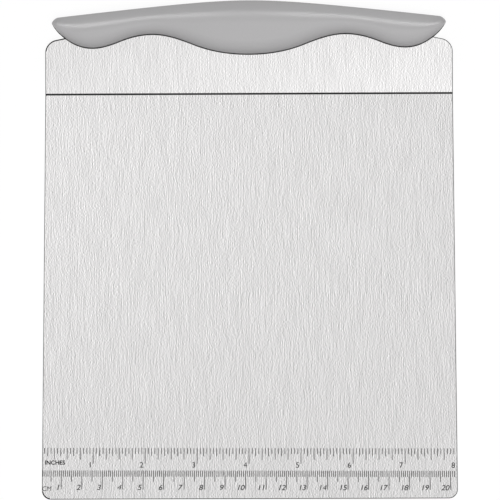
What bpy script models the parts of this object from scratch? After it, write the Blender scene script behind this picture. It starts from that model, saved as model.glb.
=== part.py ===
"""Cake lifter: a square sheet-steel blade with a wave-edged soft grip along its rear flange.

Everything is in metres, +Z up. The blade lies flat with its underside on Z = 0 and its
centre at the origin. X runs across the blade, -Y is the front edge that slides under the
cake, and the flange that carries the grip rises towards +Y.

Three pieces make the tool. The blade is one sheet whose rear strip is bent up along a
scored crease and ends in a punched tang. The handle core is a rigid moulding that grips
the tang with studs through its holes. The grip skin is a soft moulding over the core,
and its pegs sit in the core's pockets.
"""

import math

import bmesh
import bpy
from mathutils import Matrix, Vector

MM = 0.001

# Blade sheet
BLADE_WIDTH = 203.2 * MM
BLADE_LENGTH = 203.2 * MM
SHEET = 0.8 * MM
FRONT_CORNER_RADIUS = 4.5 * MM
SHOULDER_HEIGHT = 26.2 * MM
SHOULDER_SLOPE = 0.2
SHOULDER_RADIUS = 6.5 * MM
BEND_ANGLE = math.radians(12.0)
CREASE_WIDTH = 1.05 * MM
CREASE_DEPTH = 0.3 * MM

# Grip outline: heights run up the flange from the crease, drops down from the top edge
GRIP_HALF_LENGTH = 98.2 * MM
GRIP_TOP_HEIGHT = 46.6 * MM
TOP_BOW = 30.0 * MM
TOP_TAPER = 0.1175
CENTRE_LOBE_DROP = 27.2 * MM
CREST_X = 48.0 * MM
CREST_DROP = 14.0 * MM
OUTER_LOBE_SETBACK = 20.2 * MM
OUTER_LOBE_DROP = 17.6 * MM
TIP_DROP = 3.7 * MM
INNER_FLANK_SHARE = 0.58
OUTER_FLANK_SHARE = 0.54
FLANK_SLOPE = 0.4
TIP_SLOPE = 1.25
TIP_ROUND = 3.2 * MM
TIP_LEAN = 0.7

# Grip section: a reach is how far a rounding runs along the flats on both sides of it, and
# its limits are the largest shares of those flats that it may take
FRONT_DEPTH = 9.0 * MM
REAR_DEPTH = 6.5 * MM
FULLNESS_POWER = 0.35
BAND_WIDTH = 7.4 * MM
BAND_SHARE = 0.46
BAND_FOOT = 0.3
LIP_HEIGHT = 0.8
BACK_SHARE = 0.42
EDGE_REACH = 1.4 * MM
EDGE_LIMITS = (0.8, 0.3)
RIDGE_REACH = 3.2 * MM
RIDGE_LIMITS = (0.6, 0.34)
LIP_REACH = 7.0 * MM
LIP_LIMITS = (0.66, 0.97)
BACK_ROUND = 0.55

# Moulded layers and how they hold the tang
FIT_GAP = 0.3 * MM
SKIN_WALL = 2.0 * MM
CORE_END_PAD = 12.2 * MM
CORE_END_ROUND = 5.0 * MM
TANG_END_COVER = 10.0 * MM
TANG_TOP_COVER = 1.2 * MM
TANG_CORNER_RADIUS = 3.0 * MM
TANG_ROOT_RADIUS = 2.5 * MM
STUD_HOLE_RADIUS = 2.6 * MM
STUD_EDGE_DISTANCE = 4.4 * MM
STUD_END_DISTANCE = 6.0 * MM
STUDS_EACH_SIDE = 2
KEY_RADIUS = 2.6 * MM
KEY_WEB = 1.0 * MM

# Facets
CORNER_STEPS = 8
HOLE_STEPS = 24
KEY_STEPS = 16
SKIN_STATIONS = 66
CORE_STATIONS = 48
LAST_STATION_TURN = math.radians(88.0)
EDGE_STEPS = 2
RIDGE_STEPS = 4
LIP_STEPS = 5
BACK_STEPS = 5
SMOOTH_ANGLE = math.radians(32.0)
SAME_PLACE = 1e-7

CREASE_Y = BLADE_LENGTH / 2
FRONT_Y = -BLADE_LENGTH / 2
ON_CREASE = CREASE_WIDTH / 8
OUTER_LOBE_X = GRIP_HALF_LENGTH - OUTER_LOBE_SETBACK
CORE_HALF_LENGTH = GRIP_HALF_LENGTH - CORE_END_PAD
CORE_INSET = SKIN_WALL + FIT_GAP
TANG_HALF_WIDTH = CORE_HALF_LENGTH - TANG_END_COVER
STUD_PITCH = (TANG_HALF_WIDTH - STUD_END_DISTANCE) / STUDS_EACH_SIDE
KEY_FLOOR = SHEET / 2 + FIT_GAP + KEY_WEB


def clear_scene():
    """Remove whatever the opened file holds."""
    for obj in list(bpy.data.objects):
        bpy.data.objects.remove(obj, do_unlink=True)


def make_material(name, colour, roughness, metallic):
    """Return a Principled material with one colour and finish."""
    material = bpy.data.materials.new(name)
    material.use_nodes = True
    shader = material.node_tree.nodes["Principled BSDF"]
    shader.inputs["Base Color"].default_value = (*colour, 1.0)
    shader.inputs["Roughness"].default_value = roughness
    shader.inputs["Metallic"].default_value = metallic
    material.diffuse_color = (*colour, 1.0)
    return material


def mesh_object(name, bm, material=None, parent=None):
    """Turn a bmesh into a linked object, shaded smooth with its real edges sharp."""
    bmesh.ops.recalc_face_normals(bm, faces=bm.faces[:])
    mesh = bpy.data.meshes.new(name)
    bm.to_mesh(mesh)
    bm.free()
    mesh.shade_smooth()
    mesh.set_sharp_from_angle(angle=SMOOTH_ANGLE)
    if material:
        mesh.materials.append(material)
    obj = bpy.data.objects.new(name, mesh)
    bpy.context.scene.collection.objects.link(obj)
    obj.parent = parent
    return obj


def as_cutter(obj):
    """Keep a tool body out of the finished model."""
    obj.hide_render = True
    obj.display_type = "WIRE"
    return obj


def cut(target, cutter):
    """Subtract the cutter from the target."""
    modifier = target.modifiers.new("cut_" + cutter.name, "BOOLEAN")
    modifier.operation = "DIFFERENCE"
    modifier.solver = "EXACT"
    modifier.object = cutter


# Grip outline, in the flange's own plane

def upper_edge(x):
    """Height of the bowed top edge: round in the middle, straight towards the tips."""
    return GRIP_TOP_HEIGHT - TOP_TAPER * (math.hypot(x, TOP_BOW) - TOP_BOW)


def wave_points():
    """Lobes, crests and the flanks between them, from the middle to the tip."""
    centre = (0.0, upper_edge(0.0) - CENTRE_LOBE_DROP, 0.0)
    crest = (CREST_X, upper_edge(CREST_X) - CREST_DROP, 0.0)
    outer = (OUTER_LOBE_X, upper_edge(OUTER_LOBE_X) - OUTER_LOBE_DROP, 0.0)
    tip = (GRIP_HALF_LENGTH, upper_edge(GRIP_HALF_LENGTH) - TIP_DROP, TIP_SLOPE)
    inner_x = CREST_X * INNER_FLANK_SHARE
    outer_x = CREST_X + (OUTER_LOBE_X - CREST_X) * OUTER_FLANK_SHARE
    inner_flank = (inner_x, (centre[1] + crest[1]) / 2, FLANK_SLOPE)
    outer_flank = (outer_x, (crest[1] + outer[1]) / 2, -FLANK_SLOPE)
    return [centre, inner_flank, crest, outer_flank, outer, tip]


def smooth_between(x, left, right):
    """Height on the cubic that joins two (x, height, slope) points."""
    span = right[0] - left[0]
    t = (x - left[0]) / span
    rise = 3 * t ** 2 - 2 * t ** 3
    level = left[1] * (1 - rise) + right[1] * rise
    lean_left = left[2] * span * (t - 2 * t ** 2 + t ** 3)
    lean_right = right[2] * span * (t ** 3 - t ** 2)
    return level + lean_left + lean_right


def lower_edge(x):
    """Height of the waved lower edge, where the grip meets the blade."""
    points = wave_points()
    for left, right in zip(points, points[1:]):
        if abs(x) <= right[0]:
            return smooth_between(abs(x), left, right)
    return points[-1][1]


def tang_height():
    """Height of the tang, which stays under the core's top edge out to its corners."""
    return upper_edge(TANG_HALF_WIDTH) - CORE_INSET - TANG_TOP_COVER


def stud_positions():
    """Places of the tang's holes along the handle."""
    return [index * STUD_PITCH for index in range(-STUDS_EACH_SIDE, STUDS_EACH_SIDE + 1)]


# Sheet metal

def rounded_corner(before, corner, after, radius):
    """Points of the arc that rounds one corner of an outline."""
    back = (before - corner).normalized()
    ahead = (after - corner).normalized()
    half_angle = back.angle(ahead) / 2
    setback = radius / math.tan(half_angle)
    centre = corner + (back + ahead).normalized() * radius / math.sin(half_angle)
    start = corner + back * setback - centre
    finish = corner + ahead * setback - centre
    sweep = math.pi - 2 * half_angle
    points = []
    for step in range(CORNER_STEPS + 1):
        turn = sweep * step / CORNER_STEPS
        arm = start * math.sin(sweep - turn) + finish * math.sin(turn)
        points.append(centre + arm / math.sin(sweep))
    return points


def sheet_outline(grow):
    """Outline of the unbent sheet, larger all round by grow."""
    side = BLADE_WIDTH / 2 + grow
    rise = math.hypot(1.0, SHOULDER_SLOPE) - SHOULDER_SLOPE
    shoulder = CREASE_Y + SHOULDER_HEIGHT + grow * rise
    tang_side = TANG_HALF_WIDTH + grow
    root = shoulder + (side - tang_side) * SHOULDER_SLOPE
    tang_top = CREASE_Y + tang_height() + grow
    right_half = [
        (Vector((side, FRONT_Y - grow)), FRONT_CORNER_RADIUS + grow),
        (Vector((side, shoulder)), SHOULDER_RADIUS + grow),
        (Vector((tang_side, root)), TANG_ROOT_RADIUS - grow),
        (Vector((tang_side, tang_top)), TANG_CORNER_RADIUS + grow),
    ]
    left_half = [(Vector((-p.x, p.y)), radius) for p, radius in reversed(right_half)]
    corners = right_half + left_half
    points = []
    for index, (corner, radius) in enumerate(corners):
        before = corners[index - 1][0]
        after = corners[(index + 1) % len(corners)][0]
        points += rounded_corner(before, corner, after, radius)
    return points


def circle_points(x, y, radius, steps):
    """Points round a circle in the plane of the sheet."""
    turns = [2 * math.pi * step / steps for step in range(steps)]
    return [Vector((x + radius * math.cos(a), y + radius * math.sin(a))) for a in turns]


def add_loop(bm, points, z):
    """Add a closed loop of edges at one level and return its edges."""
    verts = [bm.verts.new((p.x, p.y, z)) for p in points]
    return [bm.edges.new((verts[i - 1], verts[i])) for i in range(len(verts))]


def flat_sheet(thickness, grow):
    """The unbent sheet with its punched holes, centred on its mid-plane."""
    bm = bmesh.new()
    edges = add_loop(bm, sheet_outline(grow), -thickness / 2)
    hole_y = CREASE_Y + tang_height() - STUD_EDGE_DISTANCE
    for x in stud_positions():
        hole = circle_points(x, hole_y, STUD_HOLE_RADIUS - grow, HOLE_STEPS)
        edges += add_loop(bm, hole, -thickness / 2)
    bmesh.ops.triangle_fill(bm, edges=edges, use_beauty=True, normal=(0, 0, 1))
    extruded = bmesh.ops.extrude_face_region(bm, geom=bm.faces[:])
    raised = [item for item in extruded["geom"] if isinstance(item, bmesh.types.BMVert)]
    bmesh.ops.translate(bm, verts=raised, vec=(0, 0, thickness))
    return bm


def score_crease(bm):
    """Cut the three lines of the score and press its middle into the upper face."""
    for offset in (-CREASE_WIDTH / 2, 0.0, CREASE_WIDTH / 2):
        geometry = bm.verts[:] + bm.edges[:] + bm.faces[:]
        line = (0, CREASE_Y + offset, 0)
        bmesh.ops.bisect_plane(bm, geom=geometry, dist=SAME_PLACE, plane_co=line, plane_no=(0, 1, 0))
    for vert in bm.verts:
        if abs(vert.co.y - CREASE_Y) < ON_CREASE and vert.co.z > 0:
            vert.co.z -= CREASE_DEPTH


def bend_flange(bm):
    """Fold everything behind the crease upwards about the sheet's mid-plane."""
    flange = [vert for vert in bm.verts if vert.co.y > CREASE_Y + ON_CREASE]
    pivot = Vector((0, CREASE_Y, 0))
    bmesh.ops.rotate(bm, verts=flange, cent=pivot, matrix=Matrix.Rotation(BEND_ANGLE, 3, "X"))


def build_blade(material):
    """One sheet: flat lifting area, scored crease, raised flange and punched tang."""
    bm = flat_sheet(SHEET, 0.0)
    score_crease(bm)
    bend_flange(bm)
    bmesh.ops.translate(bm, verts=bm.verts[:], vec=(0, 0, SHEET / 2))
    return mesh_object("blade", bm, material)


def tang_space(frame):
    """The room that the mouldings leave round the flange."""
    bm = flat_sheet(SHEET + 2 * FIT_GAP, FIT_GAP)
    bmesh.ops.translate(bm, verts=bm.verts[:], vec=(0, -CREASE_Y, 0))
    return as_cutter(mesh_object("tang_space", bm, parent=frame))


# Mouldings, with X along the handle, Y up the flange and Z out of it

def end_closing(x, half_length, end_round):
    """1 along the handle, falling as a quarter circle over its rounded end."""
    past = abs(x) - (half_length - end_round)
    if past <= 0:
        return 1.0
    return math.sqrt(max(0.0, 1 - (past / end_round) ** 2))


def section_limits(x, inset, half_length, end_round):
    """Top, bottom, front and back of the handle's section at x, drawn in by inset."""
    closing = end_closing(x, half_length, end_round)
    top_line = upper_edge(x) - inset
    low_line = lower_edge(x) + inset
    reach = (top_line - low_line) * closing
    height = top_line - low_line + 2 * inset
    fullness = math.sqrt(closing) * (height / CENTRE_LOBE_DROP) ** FULLNESS_POWER
    front = FRONT_DEPTH * fullness - inset * closing
    back = REAR_DEPTH * fullness - inset * closing
    top = top_line - (top_line - low_line - reach) * TIP_LEAN
    return top, top - reach, front, back


def soft_minimum(first, second):
    """The smaller of two lengths, with a soft change from one to the other."""
    return (first ** -6 + second ** -6) ** (-1 / 6)


def rounded(before, corner, after, reach, limits, steps):
    """Points that round a corner over a reach that takes a limited share of both sides.

    The curve is part of a circle where it reaches as far along both sides.
    """
    back, ahead = before - corner, after - corner
    weight = math.sin(back.angle(ahead) / 2)
    start = corner + back.normalized() * soft_minimum(reach, back.length * limits[0])
    finish = corner + ahead.normalized() * soft_minimum(reach, ahead.length * limits[1])
    points = []
    for step in range(steps + 1):
        t = step / steps
        near, middle, far = (1 - t) ** 2, 2 * weight * t * (1 - t), t ** 2
        points.append((start * near + corner * middle + finish * far) / (near + middle + far))
    return points


def back_quarter(edge, spine):
    """A quarter of the back, square to the flange at its edge and level at its spine."""
    first = Vector((edge.x, edge.y + (spine.y - edge.y) * BACK_ROUND))
    second = Vector((spine.x + (edge.x - spine.x) * BACK_ROUND, spine.y))
    points = []
    for step in range(1, BACK_STEPS):
        t = step / BACK_STEPS
        near = edge * (1 - t) ** 3 + first * 3 * t * (1 - t) ** 2
        far = second * 3 * t ** 2 * (1 - t) + spine * t ** 3
        points.append(near + far)
    return points


def handle_section(x, inset, half_length, end_round):
    """Closed section: a sloping band, ridge, flat face and round lip in front, softer back."""
    top, low, front, back = section_limits(x, inset, half_length, end_round)
    scale = front / FRONT_DEPTH
    band = soft_minimum(BAND_SHARE * (top - low), BAND_WIDTH)
    top_foot, low_foot = Vector((top, 0.0)), Vector((low, 0.0))
    shoulder = Vector((top, front * BAND_FOOT))
    ridge = Vector((top - band, front))
    lip = Vector((low, front * LIP_HEIGHT))
    spine = Vector((top - (top - low) * BACK_SHARE, -back))
    points = [top_foot]
    points += rounded(top_foot, shoulder, ridge, EDGE_REACH * scale, EDGE_LIMITS, EDGE_STEPS)
    points += rounded(shoulder, ridge, lip, RIDGE_REACH * scale, RIDGE_LIMITS, RIDGE_STEPS)
    points += rounded(ridge, lip, low_foot, LIP_REACH, LIP_LIMITS, LIP_STEPS)
    points += [low_foot] + back_quarter(low_foot, spine)
    points += [spine] + back_quarter(top_foot, spine)[::-1]
    return [Vector((x, point.x, point.y)) for point in points]


def station_positions(half_length, stations):
    """Places of the sections, closer together towards the rounded ends."""
    shares = [2 * index / (stations - 1) - 1 for index in range(stations)]
    return [half_length * math.sin(LAST_STATION_TURN * share) for share in shares]


def handle_form(inset, half_length, end_round, stations):
    """Loft the handle's sections from tip to tip."""
    bm = bmesh.new()
    rings = []
    for x in station_positions(half_length, stations):
        verts = [bm.verts.new(point) for point in handle_section(x, inset, half_length, end_round)]
        rings.append([bm.edges.new((verts[i - 1], verts[i])) for i in range(len(verts))])
    for left, right in zip(rings, rings[1:]):
        bmesh.ops.bridge_loops(bm, edges=left + right)
    for end in (rings[0], rings[-1]):
        bmesh.ops.contextual_create(bm, geom=end)
    return bm


def key_plugs(name, grow, frame):
    """Round plugs in both faces of the core: its pockets, and the skin's pegs in them."""
    studs = stud_positions()
    bm = bmesh.new()
    for left, right in zip(studs, studs[1:]):
        x = (left + right) / 2
        height = (upper_edge(x) + lower_edge(x)) / 2
        for side, outside in ((1, FRONT_DEPTH), (-1, REAR_DEPTH)):
            floor = KEY_FLOOR - grow
            place = Vector((x, height, side * (floor + outside) / 2))
            bmesh.ops.create_cone(
                bm, cap_ends=True, segments=KEY_STEPS, radius1=KEY_RADIUS + grow,
                radius2=KEY_RADIUS + grow, depth=outside - floor, matrix=Matrix.Translation(place),
            )
    return as_cutter(mesh_object(name, bm, parent=frame))


def build_handle_core(material, frame, space):
    """Rigid moulding round the tang, with studs through its holes and pockets for the skin."""
    bm = handle_form(CORE_INSET, CORE_HALF_LENGTH, CORE_END_ROUND, CORE_STATIONS)
    core = mesh_object("handle_core", bm, material, frame)
    cut(core, space)
    cut(core, key_plugs("key_pockets", 0.0, frame))
    return core


def build_grip_skin(material, frame, space):
    """Soft outer moulding with the core's room inside and pegs into the core's pockets."""
    room_length = CORE_HALF_LENGTH + FIT_GAP
    room_round = CORE_END_ROUND + FIT_GAP
    room_form = handle_form(SKIN_WALL, room_length, room_round, CORE_STATIONS)
    room = as_cutter(mesh_object("core_room", room_form, parent=frame))
    cut(room, key_plugs("key_pegs", -FIT_GAP, frame))
    bm = handle_form(0.0, GRIP_HALF_LENGTH, TIP_ROUND, SKIN_STATIONS)
    skin = mesh_object("grip_skin", bm, material, frame)
    cut(skin, room)
    cut(skin, space)
    return skin


def main():
    """Build the whole lifter."""
    clear_scene()
    steel = make_material("brushed_stainless_steel", (0.70, 0.70, 0.70), 0.34, 1.0)
    plastic = make_material("moulded_core_plastic", (0.16, 0.16, 0.17), 0.5, 0.0)
    rubber = make_material("soft_touch_grip", (0.42, 0.42, 0.42), 0.55, 0.0)
    frame = bpy.data.objects.new("flange_frame", None)
    bpy.context.scene.collection.objects.link(frame)
    frame.location = (0, CREASE_Y, SHEET / 2)
    frame.rotation_euler = (BEND_ANGLE, 0, 0)
    build_blade(steel)
    space = tang_space(frame)
    build_handle_core(plastic, frame, space)
    build_grip_skin(rubber, frame, space)


main()
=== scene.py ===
"""Looks of the cake lifter: brushed blade, etched ruler, soft grip, and the stage they lie on.

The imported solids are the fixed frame. The blade and the grip are modelled again here in
full detail, in the same place and to the same sizes, and stand for their solids. The
handle core is hidden inside them and keeps its solid.
"""

import math

import bmesh
import bpy
from bpy.props import FloatProperty, FloatVectorProperty, IntProperty, PointerProperty
from mathutils import Matrix, Vector


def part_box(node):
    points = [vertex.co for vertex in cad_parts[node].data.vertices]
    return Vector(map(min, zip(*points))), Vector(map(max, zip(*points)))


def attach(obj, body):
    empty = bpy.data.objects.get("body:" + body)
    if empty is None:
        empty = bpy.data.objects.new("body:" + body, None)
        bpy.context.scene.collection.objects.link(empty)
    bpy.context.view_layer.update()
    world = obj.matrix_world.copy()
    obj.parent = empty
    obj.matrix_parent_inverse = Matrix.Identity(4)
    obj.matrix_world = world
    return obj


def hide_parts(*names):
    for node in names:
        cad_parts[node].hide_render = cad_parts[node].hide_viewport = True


bl_info = {
    "name": "Cake Lifter Looks",
    "version": (1, 0, 0),
    "blender": (4, 5, 0),
    "location": "View3D > Sidebar > Cake Lifter",
    "description": "Builds a cake lifter's brushed blade, etched ruler, soft grip and stage",
    "category": "Object",
}

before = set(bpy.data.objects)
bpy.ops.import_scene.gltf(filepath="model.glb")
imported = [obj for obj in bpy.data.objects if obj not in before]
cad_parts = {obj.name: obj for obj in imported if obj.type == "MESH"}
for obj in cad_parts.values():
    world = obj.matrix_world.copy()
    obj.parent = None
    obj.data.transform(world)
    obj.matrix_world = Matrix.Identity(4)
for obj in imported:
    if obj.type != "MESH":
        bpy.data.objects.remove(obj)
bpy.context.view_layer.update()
BLADE_LOW, BLADE_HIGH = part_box("blade")

MM = 0.001
INCH = 25.4 * MM
UV_NAME = "flat_pattern"


# Small helpers

def linear(hex_colour):
    """Turn an sRGB hex colour into the linear colour that shaders and lamps use."""
    levels = [int(hex_colour[i:i + 2], 16) / 255 for i in (1, 3, 5)]
    turned = [v / 12.92 if v <= 0.04045 else ((v + 0.055) / 1.055) ** 2.4 for v in levels]
    return (*turned, 1.0)


def add_node(tree, kind, values=None, links=None, **settings):
    """Add a node with its settings, its fixed socket values and the links that feed it."""
    node = tree.nodes.new(kind)
    for name, value in settings.items():
        setattr(node, name, value)
    for socket, value in (values or {}).items():
        node.inputs[socket].default_value = value
    for socket, source in (links or {}).items():
        tree.links.new(source, node.inputs[socket])
    return node


def emptied_tree(owner):
    """The node tree of a material or world, switched on and emptied."""
    owner.use_nodes = True
    owner.node_tree.nodes.clear()
    return owner.node_tree


def new_material(name):
    """A new material, its node tree and its shader, linked to the output."""
    material = bpy.data.materials.new(name)
    tree = emptied_tree(material)
    shader = add_node(tree, "ShaderNodeBsdfPrincipled")
    add_node(tree, "ShaderNodeOutputMaterial", links={"Surface": shader.outputs["BSDF"]})
    return material, tree, shader


def make_piece(name, bm, materials, slot_name):
    """Turn a finished bmesh into an object. With a slot's name it rides on the only body."""
    mesh = bpy.data.meshes.new(name)
    bm.to_mesh(mesh)
    bm.free()
    for material in materials:
        mesh.materials.append(material)
    piece = bpy.data.objects.new(name, mesh)
    bpy.context.scene.collection.objects.link(piece)
    if slot_name:
        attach(piece, "root")
    return piece


def cut_away(piece, cutter):
    """Subtract the cutter from the piece for good, then remove the cutter."""
    modifier = piece.modifiers.new("cut", "BOOLEAN")
    modifier.operation = "DIFFERENCE"
    modifier.solver = "EXACT"
    modifier.object = cutter
    depsgraph = bpy.context.evaluated_depsgraph_get()
    result = bpy.data.meshes.new_from_object(piece.evaluated_get(depsgraph))
    piece.modifiers.clear()
    piece.data = result
    bpy.data.objects.remove(cutter, do_unlink=True)


def flange_place(sheet):
    """Matrix from the flange's own plane, X along the grip and Y up it, to the tool's frame."""
    pivot = Matrix.Translation((0, sheet.length / 2, sheet.thickness / 2))
    return pivot @ Matrix.Rotation(sheet.bend_angle, 4, "X")


# Settings

class BladeSettings(bpy.types.PropertyGroup):
    """Sizes and colours of the sheet-steel blade"""

    width: FloatProperty(
        name="Width", description="Across the blade",
        default=BLADE_HIGH.x - BLADE_LOW.x, unit="LENGTH")
    length: FloatProperty(
        name="Length", description="From the front edge to the crease",
        default=-2 * BLADE_LOW.y, unit="LENGTH")
    thickness: FloatProperty(
        name="Sheet", description="Thickness of the steel sheet",
        default=0.8 * MM, unit="LENGTH")
    front_radius: FloatProperty(
        name="Front corners", description="Radius of the two front corners",
        default=4.5 * MM, unit="LENGTH")
    shoulder_height: FloatProperty(
        name="Shoulder height", description="From the crease up the flange's sides to its corners",
        default=26.2 * MM, unit="LENGTH")
    shoulder_slope: FloatProperty(
        name="Shoulder slope", description="Rise of the shoulders towards the middle",
        default=0.2)
    shoulder_radius: FloatProperty(
        name="Shoulders", description="Length of side that the shoulders' rounding takes",
        default=5.3 * MM, unit="LENGTH")
    bend_angle: FloatProperty(
        name="Bend", description="How far the flange rises from the blade",
        default=math.radians(12.0), subtype="ANGLE")
    crease_width: FloatProperty(
        name="Crease width", description="Width of the scored crease",
        default=1.05 * MM, unit="LENGTH")
    crease_depth: FloatProperty(
        name="Crease depth", description="Depth of the scored crease",
        default=0.3 * MM, unit="LENGTH")
    rim_round: FloatProperty(
        name="Rim rounding", description="Radius of the tumbled edge all round the sheet",
        default=0.36 * MM, unit="LENGTH")
    steel_colour: FloatVectorProperty(
        name="Steel", description="Colour of the brushed faces", size=4,
        default=linear("#d4d3d3"), subtype="COLOR", min=0, max=1)
    # The edge's colour: partly its duller tumbled steel, partly painted dark reflection
    rim_colour: FloatVectorProperty(
        name="Rim", description="Colour of the tumbled edge", size=4,
        default=linear("#5a5a5a"), subtype="COLOR", min=0, max=1)
    # Painted dark reflection on the rounded corners, darker at the left than at the right
    left_corner_colour: FloatVectorProperty(
        name="Left corners", description="Colour of the rim at its left corners", size=4,
        default=linear("#101010"), subtype="COLOR", min=0, max=1)
    right_corner_colour: FloatVectorProperty(
        name="Right corners", description="Colour of the rim at its right corners", size=4,
        default=linear("#383838"), subtype="COLOR", min=0, max=1)
    # Painted shade in the scored crease
    crease_colour: FloatVectorProperty(
        name="Crease", description="Colour of the scored crease", size=4,
        default=linear("#303030"), subtype="COLOR", min=0, max=1)
    mark_colour: FloatVectorProperty(
        name="Marks", description="Colour of the etched ruler", size=4,
        default=linear("#121212"), subtype="COLOR", min=0, max=1)


class GripSettings(bpy.types.PropertyGroup):
    """Sizes and colours of the soft grip and its core"""

    half_length: FloatProperty(
        name="Half length", description="From the middle of the grip to either tip",
        default=98.2 * MM, unit="LENGTH")
    top_height: FloatProperty(
        name="Top height", description="From the crease to the middle of the top edge",
        default=46.6 * MM, unit="LENGTH")
    front_depth: FloatProperty(
        name="Front depth", description="How far the ridge stands in front of the steel",
        default=9.0 * MM, unit="LENGTH")
    rear_depth: FloatProperty(
        name="Rear depth", description="How far the grip stands behind the steel",
        default=6.5 * MM, unit="LENGTH")
    stations: IntProperty(
        name="Stations", description="Number of sections along the grip",
        default=221, min=21, max=401)
    rubber_colour: FloatVectorProperty(
        name="Grip", description="Colour of the soft grip", size=4,
        default=linear("#acabac"), subtype="COLOR", min=0, max=1)
    # Painted shadow along the thin line where the grip meets the steel
    lip_colour: FloatVectorProperty(
        name="Lip", description="Colour of the thin line where the grip meets the steel", size=4,
        default=linear("#161616"), subtype="COLOR", min=0, max=1)
    core_colour: FloatVectorProperty(
        name="Core", description="Colour of the hidden core", size=4,
        default=linear("#6f6f72"), subtype="COLOR", min=0, max=1)


class RulerSettings(bpy.types.PropertyGroup):
    """Sizes of the etched ruler"""

    inch_zero: FloatProperty(
        name="Inch zero", description="Place of the inch scale's zero, from the left edge",
        default=-0.458 * MM, unit="LENGTH")
    centimetre_zero: FloatProperty(
        name="Centimetre zero", description="Place of the centimetre scale's zero",
        default=-0.535 * MM, unit="LENGTH")
    turn: FloatProperty(
        name="Turn", description="How far the etching is turned on the sheet",
        default=math.radians(-0.25), subtype="ANGLE")
    tick_width: FloatProperty(
        name="Tick width", description="Width of each etched line",
        default=0.33 * MM, unit="LENGTH")
    mark_height: FloatProperty(
        name="Mark relief", description="How far the etched oxide stands proud of the steel",
        default=0.02 * MM, unit="LENGTH")


class StageSettings(bpy.types.PropertyGroup):
    """Floor, light and camera"""

    floor_colour: FloatVectorProperty(
        name="Floor", description="Colour of the floor", size=4,
        default=linear("#f2f2f2"), subtype="COLOR", min=0, max=1)
    surround_level: FloatProperty(
        name="Surround", description="Level of the even light from all round", default=0.35)
    key_level: FloatProperty(
        name="Key", description="Level of the softbox above the blade", default=9.3)
    front_level: FloatProperty(
        name="Front", description="Level of the softbox that the flange reflects", default=0.56)
    rear_level: FloatProperty(
        name="Rear", description="Level of the softbox that the blade reflects", default=0.255)
    ridge_level: FloatProperty(
        name="Ridge", description="Level of the two lamps that the grip's ridge reflects",
        default=12.2)


# Brushed blade

TANG_HALF_WIDTH = 76.0 * MM
TANG_CLEARANCE = 3.5 * MM
TANG_ROOT_RADIUS = 2.5 * MM
TANG_CORNER_RADIUS = 3.0 * MM
STUD_ROW = range(-2, 3)
STUD_PITCH = 35.0 * MM
STUD_RADIUS = 2.6 * MM
STUD_SEGMENTS = 32
STUD_EDGE_DISTANCE = 4.4 * MM
PUNCH_LENGTH = 4.0 * MM
CORNER_SEGMENTS = 10
RIM_SEGMENTS = 4
# An edge of the outline that leans more than this share belongs to a corner
LEFT_CORNER_SHARE = 0.15
RIGHT_CORNER_SHARE = 0.25
# Narrow ring inside the rim; at the left corners it carries the painted dark reflection
SHADE_RING_WIDTH = 0.24 * MM
LARGEST_SHADE_RING_FACE = 10 * MM ** 2
SCORE_STEPS = (-0.5, -0.25, 0.0, 0.25, 0.5)
BEND_MARGIN = 1.2 * MM
SAME_PLACE = 1e-7
# Least share of a face's normal along Z to be level, or to face up
LEVEL = 0.999
FACING_UP = 0.1
# The blade's material slots, in the order of its operator's list
BRUSHED, RIM, CREASE, LEFT_CORNER_DARK_REFLECTION, RIGHT_CORNER_DARK_REFLECTION = range(5)


def tang_top(blade, grip):
    """Place of the tang's top edge on the unbent sheet."""
    height = upper_edge(grip, TANG_HALF_WIDTH) - TANG_CLEARANCE
    return blade.length / 2 + height


def unbent_sheet(blade, top, thickness):
    """The flat sheet up to its top edge, centred on its mid-plane, with rounded corners."""
    side = blade.width / 2
    shoulder = blade.length / 2 + blade.shoulder_height
    root = shoulder + (side - TANG_HALF_WIDTH) * blade.shoulder_slope
    corners = [
        (side, -blade.length / 2, blade.front_radius),
        (side, shoulder, blade.shoulder_radius),
        (TANG_HALF_WIDTH, root, TANG_ROOT_RADIUS),
        (TANG_HALF_WIDTH, top, TANG_CORNER_RADIUS),
    ]
    corners += [(-x, y, radius) for x, y, radius in reversed(corners)]
    bm = bmesh.new()
    verts = [bm.verts.new((x, y, -thickness / 2)) for x, y, radius in corners]
    bm.faces.new(verts)
    for vert, (x, y, radius) in zip(verts, corners):
        bmesh.ops.bevel(bm, geom=[vert], offset=radius, segments=CORNER_SEGMENTS,
                        profile=0.5, affect="VERTICES", material=-1)
    raised = bmesh.ops.extrude_face_region(bm, geom=bm.faces[:])["geom"]
    top_verts = [item for item in raised if isinstance(item, bmesh.types.BMVert)]
    bmesh.ops.translate(bm, verts=top_verts, vec=(0, 0, thickness))
    bmesh.ops.recalc_face_normals(bm, faces=bm.faces[:])
    return bm


def punch_stud_holes(piece, top):
    """Punch the tang's row of round holes."""
    bm = bmesh.new()
    for index in STUD_ROW:
        place = Matrix.Translation((index * STUD_PITCH, top - STUD_EDGE_DISTANCE, 0))
        bmesh.ops.create_cone(bm, cap_ends=True, segments=STUD_SEGMENTS, radius1=STUD_RADIUS,
                              radius2=STUD_RADIUS, depth=PUNCH_LENGTH, matrix=place)
    cut_away(piece, make_piece("stud_punches", bm, [], None))


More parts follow.
